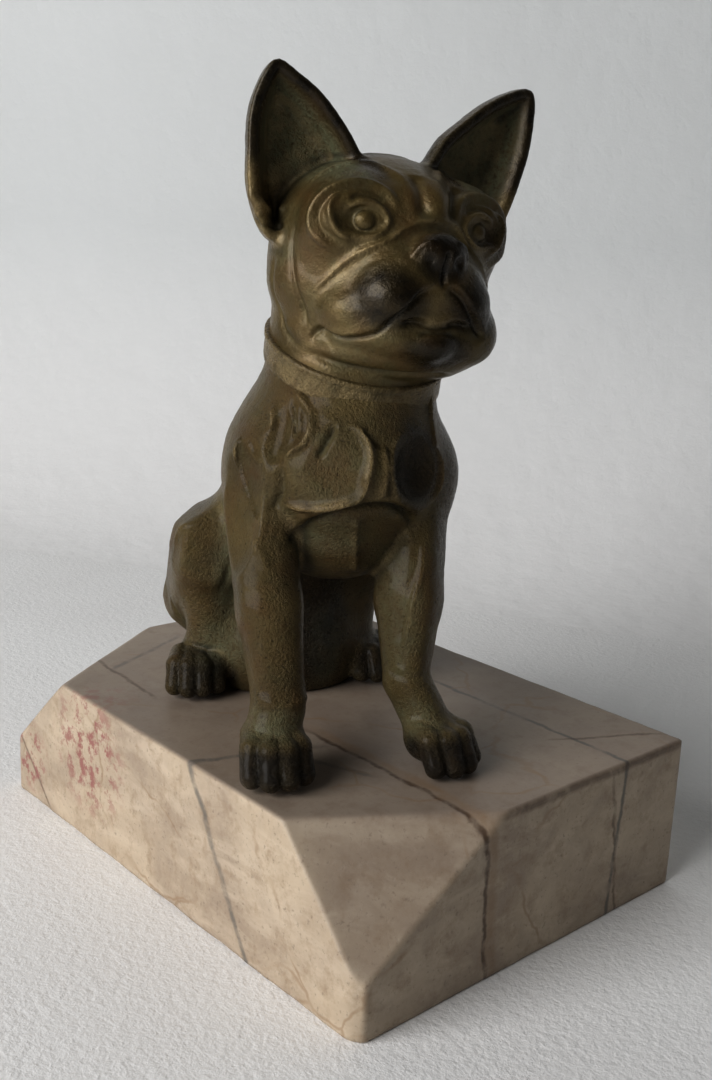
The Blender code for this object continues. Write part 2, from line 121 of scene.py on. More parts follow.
# Modelled lines: points, width of the bead or groove, its height, and the step across it.
# Lines of the head are in its frame, on the dog's right, and those in pairs are mirrored.
HEAD_PAIRED_LINES = (
    # Rings and grooves round the eye, and the lid.
    (((-13.3, -11.1, -1.4), (-17.3, -8, 2), (-17.6, -7.8, 5.5), (-14.9, -9.1, 9),
      (-10.3, -10.1, 10.2), (-6.6, -11.4, 9), (-4.8, -13.4, 5.8)), 0.6, 0.42, 0),
    (((-13, -11.6, 0.2), (-16.2, -9.2, 2.6), (-16.5, -8.8, 5.6), (-14.2, -10, 8.1),
      (-10.4, -11, 9.1), (-7.4, -12, 8), (-5.9, -13.4, 5.6)), 0.5, -0.3, 0),
    (((-12, -12, 1), (-14.5, -11.1, 2.2), (-15.5, -10.2, 4.4), (-15.2, -9.8, 6.6), (-13.6, -9.9, 8.2)),
     0.55, 0.45, 0),
    (((-14.2, -11.6, 3.9), (-12.5, -11.8, 6.3), (-10.4, -12, 7.1), (-8.2, -12.4, 6.5), (-6.9, -13, 4.4),
      (-8.4, -13.5, 2.5), (-10.5, -12.8, 1.8), (-12.6, -12, 2.3), (-14.2, -11.6, 3.9)), 0.5, 0.45, 0),
    (((-13.2, -11.6, 7), (-11.4, -11.6, 8.2), (-9, -12, 8), (-7, -12.6, 6.8)), 0.45, -0.45, 0),
    # Crease beside the muzzle, folds of the cheek and of the throat.
    (((-13.5, -13.5, -4), (-11.7, -14.6, -2), (-9, -16.7, -0.2), (-6.2, -17.5, 0.9)), 0.5, -0.3, 0),
    (((-18.2, -3.5, 4.1), (-18.4, -2.6, 0.1), (-18, -3.7, -4.7), (-16.6, -4.8, -9.7), (-15.8, -5.6, -13)),
     0.55, -0.35, 0.14),
    (((-19.4, 1.2, -1.7), (-19, 1.8, -8), (-17.6, 0, -13.4), (-15.2, -4.6, -16.4)), 0.6, -0.3, 0.12),
    # Ridge in front of the ear, foot of the ear, wing of the nostril.
    (((-17.2, -2, 9.2), (-10.4, -1.6, 13), (-6.4, -4.5, 13.2), (-2.6, -11.5, 10.6)), 0.9, 0.35, 0.1),
    (((-24.6, 1.7, 8), (-22.6, 1.9, 5.6), (-19.6, 2.6, 5), (-17.2, 3.4, 6.4)), 0.7, 0.45, 0),
    (((-23, 2.2, 3.6), (-20.6, 1.8, 2.2), (-18.4, 1.6, 3.2)), 0.6, -0.35, 0),
    (((-1.5, -19.6, 2.2), (-3.8, -18.6, 1.2), (-4.6, -17.6, -1.2)), 0.45, 0.25, 0),
)
HEAD_SINGLE_LINES = (
    # The lips: the right one ends in a hook.
    (((-0.4, -20.3, -4.5), (-3.3, -20.1, -5.7), (-5.6, -19.5, -8.2), (-8.1, -18.4, -11),
      (-10.2, -16.4, -13), (-12.6, -12, -14), (-14.8, -7.6, -13), (-15.6, -6.2, -14.4),
      (-14.8, -7, -15.6)), 0.5, -0.55, -0.4),
    (((0.4, -20.3, -4.5), (3.3, -20.1, -5.7), (5.6, -19.5, -8.2), (8.1, -18.4, -11), (9.4, -17.2, -12.2)),
     0.5, -0.55, 0.4),
    # The frown, and the fold from cheek to cheek over the nose.
    (((-1.2, -9.6, 13), (-1.4, -12.2, 10.2), (-1.5, -13.9, 7.6), (-1.2, -14.7, 5.2)), 1.15, -0.62, 0),
    (((6.6, -9.4, 11.6), (5.4, -11.6, 9.4), (4.4, -13.2, 7.2), (3.8, -14, 5.2)), 0.9, -0.62, 0),
    (((2.6, -9.6, 12.4), (2, -12.2, 9.8), (1.5, -14.2, 6.8), (1.2, -15, 5)), 1.3, 0.28, 0),
    (((-16.4, -4.8, -9.7), (-15.3, -9.6, -5), (-12.1, -12.8, -1.2), (-8.1, -15.2, 1.7), (-5.1, -14.9, 3.4),
      (-2, -14.8, 4.6), (1.6, -14.8, 4.9), (5.2, -13.8, 4.3), (7.2, -15.4, 2.1), (9.5, -15, -0.9),
      (12.8, -13.5, -4.5), (15.6, -9, -8.5)), 0.7, 0.35, 0.22),
    # Cleft of the nose, mouth, chin, fold over the collar, ridge behind the ears.
    (((0.3, -20.8, 1), (0.2, -20.6, -1.8), (0.1, -20.4, -5)), 0.5, -0.6, 0),
    (((-6.6, -18, -10.9), (-3.6, -19, -10.4), (0.2, -20.2, -10.2), (4, -19.4, -10.3), (7.4, -17.8, -10.8)),
     0.5, -0.7, 0.25),
    (((-3.4, -18.6, -12.2), (-1.2, -19.8, -11.6), (1.8, -19.8, -11.6), (4.2, -18.4, -12.3)), 0.45, -0.35, 0),
    (((-15.8, -3.6, -16.6), (-11, -9, -18), (-5, -13, -18.4), (2, -14, -18.4), (8, -12, -18)),
     0.7, -0.55, 0),
    (((-16, 8, 10.5), (-9, 6, 14.4), (0.4, 2, 15.7), (9, 6, 14.4), (16, 8, 10.5)), 1.2, 0.25, 0),
)
HAUNCH_LINES = (
    (((-17.6, 8, 34.6), (-23.8, 12, 31.4), (-25.6, 13.6, 24), (-23.4, 12.2, 17)), 0.8, 0.45, 0),
    (((-19.2, 20, 33), (-24.6, 22.6, 26), (-25, 22, 18), (-20, 20, 10.5)), 0.8, -0.6, 0),
)
BODY_LINES = (
    # Right chest plate, breastbone, left plate.
    (((-4.4, -27.2, 59), (-1.8, -28.4, 57.6), (-0.6, -30, 54.8), (-1, -30.9, 51.2), (-2.4, -30.4, 47.4),
      (-7.6, -28, 45.6), (-14, -22.8, 45)), 0.7, 0.8, 0.2),
    (((-5.3, -26.9, 58.8), (-6.7, -27.5, 56.3), (-8.3, -27.7, 53)), 0.6, -0.8, 0.25),
    (((2.1, -30.1, 56.4), (2.4, -30.6, 51.6), (1.8, -30.6, 47)), 0.7, 0.4, -0.3),
    (((-1.4, -28.5, 58), (0.4, -29.3, 56.6), (2, -29.8, 54.8)), 0.5, -0.5, 0),
    (((8.4, -27.2, 58.2), (4.2, -29.2, 56), (3.2, -30.3, 51), (5.2, -29.8, 46.4), (10.6, -26.6, 45),
      (14.2, -24.2, 47.2), (14.2, -24.5, 52.4), (11.7, -25.7, 56.8)), 0.55, 0.55, 0),
    # Lower edge of the chest, and the keel under it.
    (((-11.8, -22.6, 37.2), (-10.6, -24.2, 40), (-8.2, -26.2, 42.8), (-4, -29.2, 45.4), (0.3, -30.4, 46),
      (4.8, -29.4, 45.4), (8.7, -26.7, 42.6), (10.8, -24.6, 38.4)), 0.7, -0.9, 0.75),
    (((-1.2, -28.6, 44.6), (-0.6, -27.3, 39.5), (0.6, -24.4, 34.6), (1.2, -21.6, 31.7)), 1.1, 0.3, -0.4),
    (((5.6, -28.2, 44.2), (8.8, -26, 40.8), (9.2, -25, 37.6)), 0.9, 0.55, 0),
    # Right shoulder, and the locks of hair over it.
    (((-17.8, -14, 55.2), (-19, -15, 50.6), (-19.4, -18.6, 45.4), (-16.4, -22, 41.8)), 0.5, 0.6, -0.3),
    (((-14, -22.8, 43.4), (-13.4, -24.2, 47.6), (-13.3, -23.6, 52)), 0.8, -0.55, 0),
    (((-13.4, -17.4, 61), (-14.2, -20.2, 57.4), (-13.4, -23.2, 52.8)), 0.45, 0.75, 0),
    (((-10.4, -20.1, 63.6), (-8.8, -24.1, 59.8), (-10.2, -25.6, 55.6), (-13.2, -23.6, 52.6)), 0.5, 0.8, 0),
    (((-11.2, -20.6, 62), (-11, -23.2, 57), (-12.9, -23.6, 53.4)), 0.45, -0.5, 0),
    (((-17.4, -16.6, 54.6), (-17, -18.4, 52.4), (-15.8, -20.6, 51.4)), 0.45, 0.45, 0),
    # Left side of the neck, upper arms, ankles.
    (((12.6, -21, 64), (13.4, -23.6, 59), (12.8, -25.5, 53.8)), 0.45, 0.4, 0),
    (((-20.4, -17.8, 44.6), (-19.4, -21.4, 40.8), (-16.6, -24.6, 37.2), (-15, -25.6, 33)), 0.8, 0.3, 0),
    (((11.7, -24.6, 39.4), (10.8, -26.6, 33.6), (8.6, -28.2, 27), (7.4, -29, 19.6)), 0.6, 0.2, 0.3),
    (((4.6, -27, 16.6), (8.2, -30.4, 15.6), (12.6, -28.4, 15.4)), 0.6, -0.25, 0),
    (((-9.2, -29, 14), (-13.6, -32, 13.2), (-18, -28.6, 14.2)), 0.6, 0.3, 0),
    # Flank, spine and shoulder blades.
    (((-14.6, 3.6, 30), (-15, 6, 22), (-17.4, 8, 13)), 0.9, -0.6, 0),
    (((0.6, 12, 62), (0, 22, 50), (-0.8, 34, 38), (-1, 41, 26)), 1.2, -0.45, 0),
    (((-4, 3, 64), (-11, 3, 56), (-15.4, 2, 47), (-15, -2, 39)), 0.9, 0.45, 0.15),
    (((5, 3, 64), (12.4, 3, 56), (16.6, 2, 47), (16, -2, 39)), 0.9, 0.45, -0.15),
)

# How the skin is worked: its unevenness as (height, size, seed), how strongly grooves gather
# patina and painted shade, and how strongly beads over a certain height are rubbed bright,
# which is partly wear and partly a painted highlight.
UNEVENNESS = ((0.05, 3.2, 7), (0.04, 1.7, 8))
GROOVE_SHADE_AND_PATINA = 0.6
BEAD_RUB_AND_HIGHLIGHT = 1.1
BEAD_RUB_AND_HIGHLIGHT_FROM = 0.15

# The plane in which the castings part, under the collar, and the collar.
PARTING_CENTRE = (3, -12, 67.5)
PARTING_NORMAL = (0.08, -0.36, 1)
PARTING_GAP = 0.05
COLLAR_HALF = 2.1
COLLAR_PROUD = 0.6

# The block, in millimetres: the end of a cut corner (-1 front, 1 back), how far the cut runs
# along x and y on top, and how high its foot is; the small flat below it; its stud holes; and
# how round its edges are worn, with waves of (height, size, seed).
CORNER_CUTS = ((-1, 31, 19.8, 10.7), (1, 33.3, 21.4, 11.6))
CORNER_FLAT = (1.4, 2.2)
STUD_PLAY = 0.4
RECESS_DEPTH = 10
EDGE_WEAR = 0.55
EDGE_WEAR_WAVES = ((0.4, 16, 3), (0.3, 7, 4))
EDGE_WEAR_LIMITS = (0.3, 1.4)

# Patches of patina and of painted shade: centre, radii, how soft the border is, and strength. Those of
# the head are in its frame, the paired ones given for the left side. The body's dark patches are
# painted shade, under the chest and in the hollow of its left chest.
HEAD_PAIRED_DARK = (((7.6, -16.6, -7.2), (6.2, 6.4, 5), 0.35, 1),)
HEAD_DARK = (((0.2, -20, -0.2), (5.2, 4, 4.2), 0.35, 1), ((1.5, -19, -15), (6, 5, 3.4), 0.35, 0.9))
BODY_SHADE = (((0, -3, 17), (12, 17, 19), 0.3, 0.9), ((9, -28.4, 51.6), (6.2, 5, 8), 0.3, 0.85))
BODY_GREEN = (
    ((-7.2, -29, 52), (7.8, 5, 7.6), 0.3, 0.2275), ((6, -28, 28), (4.6, 5, 13), 0.3, 0.325),
    ((-12.8, 7, 26), (4, 8, 14), 0.5, 0.585), ((-15, 6, 10), (6, 8, 5), 0.5, 0.585),
    ((5, 4, 9), (3.4, 5, 9), 0.3, 0.65), ((-15.5, -31, 10), (5.5, 6, 2.6), 0.5, 0.52),
    ((9, -31.5, 8), (4.5, 5, 4), 0.5, 0.455), ((-4, -25, 40), (5, 6, 4), 0.4, 0.325),
)
COLLAR_FINISH = {"dark": 0.25, "green": 0.15, "grain": 0.7}

# Patina and stone, as linear colours. The rubbed bronze is partly a painted highlight, and the
# block's top colour is painted shade.
BRONZE_TONE = (0.112, 0.08, 0.03)
BRONZE_RUSSET = (0.115, 0.06, 0.02)
BRONZE_OLIVE = (0.085, 0.078, 0.032)
BRONZE_BLACK = (0.007, 0.005, 0.004)
BRONZE_RUBBED_AND_HIGHLIT = (0.38, 0.28, 0.14)
VERDIGRIS = (0.19, 0.2, 0.12)
MARBLE_BEIGE = (0.5, 0.41, 0.305)
MARBLE_GREY = (0.36, 0.285, 0.215)
MARBLE_PALE = (0.6, 0.51, 0.4)
MARBLE_BROWN = (0.3, 0.215, 0.14)
MARBLE_TOP_SHADE = (0.25, 0.2, 0.165)
MARBLE_SPECK = (0.16, 0.12, 0.09)
MARBLE_RED = (0.3, 0.11, 0.1)
VEIN_BROWN = (0.085, 0.048, 0.028)
VEIN_BLUE = (0.13, 0.122, 0.11)
VEIN_TAN = (0.3, 0.2, 0.12)

# Veins: colour, strength, the normal of the sheet, its offset, its half-width, how far it
# wanders, and where it is seen.
MARBLE_VEINS = (
    (VEIN_BROWN, 0.85, (1, 0, 0.1), -0.0115, 0.0007, 0.0035, ((-0.01, -0.04, 0.018), 0.034)),
    (VEIN_TAN, 0.55, (1, 0, 0.1), -0.01, 0.0016, 0.004, ((-0.01, -0.04, 0.018), 0.034)),
    (VEIN_BLUE, 0.7, (0.29, 0.865, -0.5), -0.0357, 0.0009, 0.003, ((-0.038, -0.018, 0.012), 0.03)),
    (VEIN_BLUE, 0.8, (1, 0, -0.07), 0.0208, 0.0007, 0.0025, ((0.022, -0.04, 0.018), 0.044)),
    (VEIN_BROWN, 0.6, (1, 0, 0.16), 0.0238, 0.0005, 0.004, ((0.022, -0.05, 0.008), 0.022)),
    (VEIN_BROWN, 0.6, (0, 0.3, 1), 0.0121, 0.001, 0.0012, ((0.016, -0.0557, 0.0287), 0.029)),
    (VEIN_BROWN, 0.6, (0.47, 0.88, 0), -0.0275, 0.0006, 0.003, ((0.029, -0.046, 0.028), 0.013)),
    (VEIN_BLUE, 0.55, (0.92, 0.39, 0), -0.0293, 0.0008, 0.003, ((-0.021, -0.026, 0.0297), 0.009)),
    (VEIN_BROWN, 0.6, (1, -0.05, 0.1), -0.0265, 0.0006, 0.003, ((-0.0275, 0.031, 0.0297), 0.015)),
    (VEIN_BLUE, 0.55, (0.41, -0.91, 0), -0.044, 0.0008, 0.003, ((-0.016, 0.041, 0.0297), 0.014)),
    (VEIN_BROWN, 0.6, (0, 1, -1.06), 0.0395, 0.0005, 0.002, ((-0.04, 0.047, 0.0065), 0.01)),
)
RED_SPOTS = (((-0.04, 0.024, 0.019), 0.015), ((-0.04, 0.049, 0.0095), 0.009))

# The camera, the wall behind and the light.
CAMERA_TARGET = Vector((-0.0398, -0.050905, 0.077619))
CAMERA_AZIMUTH = -0.731
CAMERA_ELEVATION = 0.245
CAMERA_ROLL = 0.043
CAMERA_DISTANCE = 0.164331
CAMERA_LENS = 40.02
WALL_DISTANCE = 0.3
WALL_HEADING = radians(-60)
WALL_CURVE = 0.14
ROOM_LIGHT = 0.045
TONE_GAMMA = 0.8
WINDOW_PLACE = Vector((-0.8, 0.05, 0.42))
WINDOW_AIM = Vector((0, 0, 0.06))
WINDOW_SIZE = (0.7, 0.6)
WINDOW_POWER = 9.8
WINDOW_COLOUR = (0.99, 0.99, 1)


# Distance fields --
# A form is a function that takes points, one per row, and gives their distances to its skin,
# negative inside. The dog's forms are in millimetres in its own frame.

def spin(about_x=0, about_y=0, about_z=0):
    """A rotation matrix: about x, then y, then z, in degrees."""
    return np.array(Euler([radians(a) for a in (about_x, about_y, about_z)]).to_matrix())


def ball(p, centre, radii, turned=None):
    q = p - centre
    if turned is not None:
        q = q @ turned
    r = np.array(radii)
    near = np.linalg.norm(q / r, axis=1)
    steep = np.linalg.norm(q / (r * r), axis=1)
    return near * (near - 1) / np.maximum(steep, 1e-9)


def along_bone(p, start, end, start_radius, end_radius):
    """The way out from the bone's line at each point, and the bone's radius there."""
    way = np.subtract(end, start)
    t = np.clip((p - start) @ way / (way @ way), 0, 1)
    return p - start - t[:, None] * way, start_radius + (end_radius - start_radius) * t


def bone(p, start, end, start_radius, end_radius):
    """A taper with round ends."""
    out, radius = along_bone(p, start, end, start_radius, end_radius)
    return np.linalg.norm(out, axis=1) - radius


def planed_bone(p, start, end, start_radius, end_radius, faces, flatness=0.87):
    """A bone planed flat along its length on the given faces."""
    out, radius = along_bone(p, start, end, start_radius, end_radius)
    d = np.linalg.norm(out, axis=1) - radius
    for face in faces:
        normal = np.array(face) / np.linalg.norm(face)
        d = overlap(d, out @ normal - flatness * radius, 1)
    return d


def join(a, b, blend):
    """Both forms as one, with a fillet."""
    h = np.clip(0.5 + 0.5 * (b - a) / blend, 0, 1)
    return b + (a - b) * h - blend * h * (1 - h)


def overlap(a, b, blend):
    """Only what both forms share, with a rounded edge."""
    return -join(-a, -b, blend)


def carve(a, b, blend):
    """The first form without the second, with a rounded edge."""
    return -join(-a, b, blend)


def scoop(p, centre, normal, size, depth, roundness=7):
    """A shallow round-bottomed hollow in a skin that faces along normal: an ellipsoid that dips
    in by depth and meets the skin on an ellipse of that half-size."""
    normal = Vector(normal).normalized()
    turned = np.array(normal.to_track_quat("Z", "Y").to_matrix())
    middle = np.array(normal) * (roundness - depth) + centre
    spread = sqrt(1 - ((roundness - depth) / roundness) ** 2)
    return ball(p, middle, (size[0] / spread, size[1] / spread, roundness), turned)


def nearby(p, form, low, high, margin):
    """The form, worked out only close to its box, which saves time."""
    outside = np.linalg.norm(np.maximum(np.maximum(low - p, p - high), 0), axis=1)
    d = outside + margin * 0.5
    close = outside < margin
    if close.any():
        d[close] = form(p[close])
    return d


def mirrored(p):
    q = p.copy()
    q[:, 0] = np.abs(q[:, 0])
    return q


def ramp(low, high, x):
    t = np.clip((x - low) / (high - low), 0, 1)
    return t * t * (3 - 2 * t)


def curve_through(points, closed=False, spacing=0.35):
    """A smooth curve through the points, sampled finely."""
    pts = [np.array(q, float) for q in points]
    if closed:
        pts = [pts[-1]] + pts + [pts[0], pts[1]]
    else:
        pts = [2 * pts[0] - pts[1]] + pts + [2 * pts[-1] - pts[-2]]
    made = []
    for a, b, c, d in zip(pts, pts[1:], pts[2:], pts[3:]):
        steps = max(2, ceil(np.linalg.norm(c - b) / spacing))
        for t in np.arange(steps) / steps:
            made.append(0.5 * (2 * b + (c - a) * t + (2 * a - 5 * b + 4 * c - d) * t**2
                               + (3 * b - a - 3 * c + d) * t**3))
    if not closed:
        made.append(pts[-2])
    return np.array(made)


def outline_distance(q, outline):
    """Distance from points in a plane to a closed outline, negative inside."""
    best = np.full(len(q), 1e9)
    sign = np.ones(len(q))
    for a, b in zip(outline, np.roll(outline, -1, axis=0)):
        side = b - a
        away = q - a
        t = np.clip((away @ side) / (side @ side), 0, 1)
        best = np.minimum(best, ((away - t[:, None] * side) ** 2).sum(1))
        above_a, below_b = q[:, 1] >= a[1], q[:, 1] < b[1]
        left = side[0] * away[:, 1] > side[1] * away[:, 0]
        crossed = (above_a & below_b & left) | (~above_a & ~below_b & ~left)
        sign = np.where(crossed, -sign, sign)
    return sign * np.sqrt(best)


# The head's forms --

def in_head(p):
    return (p - HEAD_CENTRE) @ HEAD_TURN


def from_head(h):
    return h @ HEAD_TURN.T + HEAD_CENTRE


def skull(p):
    h = in_head(p)
    m = mirrored(h)
    d = ball(h, *CRANIUM)
    d = join(d, ball(h, *CHEEKS), 5)
    d = join(d, ball(h, *FOREHEAD), 3)
    d = join(d, ball(m, *BROWS), 3)
    d = join(d, ball(h, *JAW), 2)
    d = join(d, ball(h, *CHIN), 1.2)
    centre, radii, yaw = LIPS
    lips = join(ball(h, *MUZZLE), ball(m, centre, radii, spin(0, 0, yaw)), 3)
    lips = join(lips, ball(m, *PADS), 1.2)
    lips = join(lips, ball(h, *JOWL_LEFT), 3)
    d = join(d, lips, 3)
    d = join(d, ball(h, *DEWLAP), 2)
    d = join(d, ball(h, *NOSE), 1.2)
    for side in (-1, 1):
        q = h * (side, 1, 1)
        for socket in (EYE_SOCKET, NOSTRIL):
            d = carve(d, scoop(q, *socket), 0.5)
        d = join(d, ball(q, *EYE), 0.25)
    return d


def in_ear(h, side, outline):
    """Points of the head's frame in an ear's frame, and how far inside its outline they lie."""
    q = (h - (side * EAR_HINGE_X, 1.2, 0)) @ spin(0, 0, side * EAR_OUTWARD)
    return q, -outline_distance(q[:, [0, 2]] + (side * EAR_HINGE_X, 0), outline)


def ear(p, side, outline):
    """A curved leaf cut to its outline, with a deep hollow inside its rim."""
    q, inset = in_ear(in_head(p), side, outline)
    front = -1.3 + 5.6 * ramp(1, 5, inset)
    back = 1.2 + 4.9 * np.sqrt(np.clip(inset / 7, 0, 1.5))
    d = overlap(front - q[:, 1], q[:, 1] - back, 0.5)
    return overlap(d, -inset, 0.7) * 0.75


def ear_outline(outline):
    return curve_through(outline, closed=True, spacing=1.2)


def head_form(p):
    d = skull(p)
    for side, outline in ((-1, EAR_RIGHT), (1, EAR_LEFT)):
        curve = ear_outline(outline)
        low = (HEAD_CENTRE[0] + min(side * 3, side * 32), -26, 84)
        high = (HEAD_CENTRE[0] + max(side * 3, side * 32), 4, 118)
        leaf = nearby(p, lambda q: ear(q, side, curve), low, high, 4)
        d = join(d, leaf, 1.2)
    return join(d, neck(p), 1)


# The body's forms --

def trunk(p):
    d = ball(p, *CHEST, spin(-6))
    d = join(d, ball(p, *BRISKET), 2)
    d = join(d, ball(p, *SHOULDER_RIGHT), 3)
    d = join(d, ball(p, *SHOULDER_LEFT), 3)
    d = join(d, bone(p, *BACK), 6)
    d = join(d, ball(p, *BELLY), 6)
    d = join(d, ball(p, *SEAT), 6)
    return join(d, bone(p, *TAIL), 2)


def neck(p):
    return bone(p, *NECK)


def paw(p, centre, yaw, size):
    """Four long toes side by side in front of a rounded foot."""
    q = (p - centre) @ spin(0, 0, yaw) / size
    d = ball(q, (0, 0.5, 0.4), (5.2, 5.2, 4.2))
    for x, forward in ((-4.3, 4.4), (-1.5, 6.2), (1.5, 6.3), (4.3, 4.6)):
        knuckle = (x * 0.86, 2.2 - forward, 1.7)
        toe = bone(q, (x * 0.7, 2, 2.6), knuckle, 2.1, 2.25)
        toe = join(toe, bone(q, knuckle, (x, -forward, -2.2), 2.25, 1.95), 0.5)
        d = join(d, toe, 0.25)
    return d * size


def foreleg(p, leg):
    (shoulder, r0), (elbow, r1), (wrist, r2) = leg["shoulder"], leg["elbow"], leg["wrist"]
    centre, yaw, size = leg["paw"]
    d = planed_bone(p, shoulder, elbow, r0, r1, leg["faces"])
    d = join(d, planed_bone(p, elbow, wrist, r1, r2, leg["faces"]), 0.8)
    ankle = np.add(centre, (0, 1, 1))
    d = join(d, planed_bone(p, wrist, ankle, r2, r2 * 1.02, leg["faces"], 0.9), 0.8)
    return join(d, paw(p, centre, yaw, size), 1.2)


def hind_leg(p):
    m = mirrored(p - (HIND_X, 0, 0))
    (knee, r0), (hip, r1), (hock, r2) = KNEE, HIP, HOCK
    d = planed_bone(m, knee, hip, r0, r1, THIGH_FACES, 0.8)
    d = join(d, bone(m, knee, hock, r0 * 0.7, r2), 2)
    centre, yaw, size = HIND_PAW
    d = join(d, bone(m, hock, np.add(centre, (0, 4, 0)), r2 * 0.75, 3.8), 1.5)
    return join(d, paw(m, centre, yaw, size), 1)


def body_form(p):
    d = join(trunk(p), neck(p), 5)
    for leg, low, high in ((RIGHT_LEG, (-24, -42, 0), (-6, -6, 50)), (LEFT_LEG, (2, -43, 0), (24, -6, 50))):
        d = join(d, nearby(p, lambda q: foreleg(q, leg), low, high, 5), 2)
    d = join(d, nearby(p, hind_leg, (-30, 3, 0), (29, 42, 38), 8), 2.5)
    for hollow in BODY_HOLLOWS:
        d = carve(d, scoop(p, *hollow), 0.35)
    return d


# Skinning a form --

def sample(form, low, high, step, block=12, batch=48):
    """The form's distances on a grid, worked out only in blocks that may hold its skin: half a
    diagonal is 0.87 of a block's side, and a form's distances may be half as much too long."""
    low, high = np.array(low, float), np.array(high, float)
    blocks = np.ceil((high - low) / step / block).astype(int)
    volume = np.ones(blocks * block + 1, np.float32)
    index = np.stack(np.meshgrid(*[np.arange(k) for k in blocks], indexing="ij"), -1).reshape(-1, 3)
    middle = form((index + 0.5) * block * step + low)
    far = np.abs(middle) > block * step * 0.87 * 1.5
    for (i, j, k), d in zip(index[far] * block, middle[far]):
        volume[i:i + block + 1, j:j + block + 1, k:k + block + 1] = np.sign(d)
    grid = np.stack(np.meshgrid(*[np.arange(block + 1)] * 3, indexing="ij"), -1).reshape(-1, 3)
    close = index[~far] * block
    for first in range(0, len(close), batch):
        some = close[first:first + batch]
        points = ((some[:, None, :] + grid[None]) * step + low).reshape(-1, 3)
        values = form(points).reshape(len(some), block + 1, block + 1, block + 1)
        for (i, j, k), box in zip(some, values):
            volume[i:i + block + 1, j:j + block + 1, k:k + block + 1] = box
    return volume


def slope(form, points, reach):
    steps = np.eye(3) * reach
    return np.stack([(form(points + s) - form(points - s)) / (2 * reach) for s in steps], 1)


def settle(form, points, reach, times=2):
    """Move points onto the form's skin."""
    for _ in range(times):
        rise = slope(form, points, reach)
        move = -(form(points) / np.maximum((rise**2).sum(1), 1e-4))[:, None] * rise
        length = np.maximum(np.linalg.norm(move, axis=1), 1e-9)
        points = points + move * np.minimum(1, 2 * reach / length)[:, None]
    return points


def skin(form, low, high, step):
    """A closed mesh of quads on the form's skin: a point in each grid cell that the skin
    crosses, joined across the grid edges that it crosses."""
    volume = sample(form, low, high, step)
    inside = volume < 0
    corners = [(i, j, k) for i in (0, 1) for j in (0, 1) for k in (0, 1)]
    cells = [s - 1 for s in volume.shape]
    shifted = (inside[i:cells[0] + i, j:cells[1] + j, k:cells[2] + k] for i, j, k in corners)
    count = sum(part.astype(np.int8) for part in shifted)
    mixed = (count > 0) & (count < 8)
    cell = np.argwhere(mixed)
    number = np.full(mixed.shape, -1)
    number[mixed] = np.arange(len(cell))
    total, hits = np.zeros((len(cell), 3)), np.zeros(len(cell))
    for corner in corners:
        for axis in (a for a in range(3) if not corner[a]):
            other = tuple(1 if a == axis else corner[a] for a in range(3))
            a = volume[tuple((cell + corner).T)]
            b = volume[tuple((cell + other).T)]
            crossed = (a < 0) != (b < 0)
            place = np.repeat(np.array(corner, float)[None], len(cell), 0)
            place[:, axis] = np.where(crossed, a / np.where(a == b, 1, a - b), 0)
            total[crossed] += place[crossed]
            hits[crossed] += 1
    points = (cell + total / hits[:, None]) * step + np.array(low, float)
    return settle(form, points, step * 0.25), grid_quads(inside, number)


def grid_quads(inside, number):
    quads = []
    for axis in range(3):
        u, v = [a for a in range(3) if a != axis]
        start = [slice(None)] * 3
        end = [slice(None)] * 3
        start[axis], end[axis] = slice(0, -1), slice(1, None)
        here, there = inside[tuple(start)], inside[tuple(end)]
        edges = np.argwhere(here != there)
        edges = edges[(edges[:, u] > 0) & (edges[:, v] > 0)]
        outward = here[tuple(edges.T)]
        back_u, back_v = np.eye(3, dtype=int)[u], np.eye(3, dtype=int)[v]
        ring = [edges - back_u - back_v, edges - back_v, edges, edges - back_u]
        quad = np.stack([number[tuple(corner.T)] for corner in ring], 1)
        turned = outward if axis == 1 else ~outward
        quad[turned] = quad[turned][:, ::-1]
        quads.append(quad)
    return np.concatenate(quads)


# Modelled lines --

def press(form, points, normals, lines):
    """Raise and sink the skin along modelled lines. Returns the moved points and how far each
    one rose. A line is (points, width, height, step): height raises a bead, or sinks a groove
    when negative, and step lifts the skin on the line's left and lowers it on its right."""
    shift = np.zeros(len(points))
    for path, width, height, step in lines:
        curve = settle(form, curve_through(path), 0.1, 3)
        reach = max(3.5 * width, 7 if step else 0)
        box = ((points > curve.min(0) - reach) & (points < curve.max(0) + reach)).all(1)
        some = np.flatnonzero(box)
        if not len(some):
            continue
        gap, place, side = beside(curve, points[some], normals[some])
        fade = np.minimum(ramp(0, 0.18, place), ramp(0, 0.18, 1 - place))
        rise = height * np.exp(-((gap / width) ** 2))
        if step:
            rise = rise + step * np.tanh(side * gap / 0.35) * np.exp(-gap / 2.2)
        shift[some] += rise * fade
    shift *= RELIEF
    return points + normals * shift[:, None], shift


def beside(curve, points, normals):
    """Each point's distance to the curve, its place along it from 0 to 1, and its side."""
    start, way = curve[:-1], np.diff(curve, axis=0)
    length2 = (way**2).sum(1)
    best = np.full(len(points), 1e9)
    place = np.zeros(len(points))
    side = np.zeros(len(points))
    for k in range(len(start)):
        away = points - start[k]
        t = np.clip(away @ way[k] / length2[k], 0, 1)
        out = away - t[:, None] * way[k]
        gap = (out**2).sum(1)
        closer = gap < best
        best = np.where(closer, gap, best)
        place = np.where(closer, (k + t) / len(start), place)
        right = (np.cross(way[k], normals) * out).sum(1)
        side = np.where(closer, -np.sign(right), side)
    return np.sqrt(best), place, side


def both_sides(lines, middle=0):
    """The lines as they are and mirrored about x = middle."""
    made = []
    for path, width, height, step in lines:
        path = np.array(path, float)
        made.append((path, width, height, step))
        made.append((path * (-1, 1, 1) + (2 * middle, 0, 0), width, height, -step))
    return made


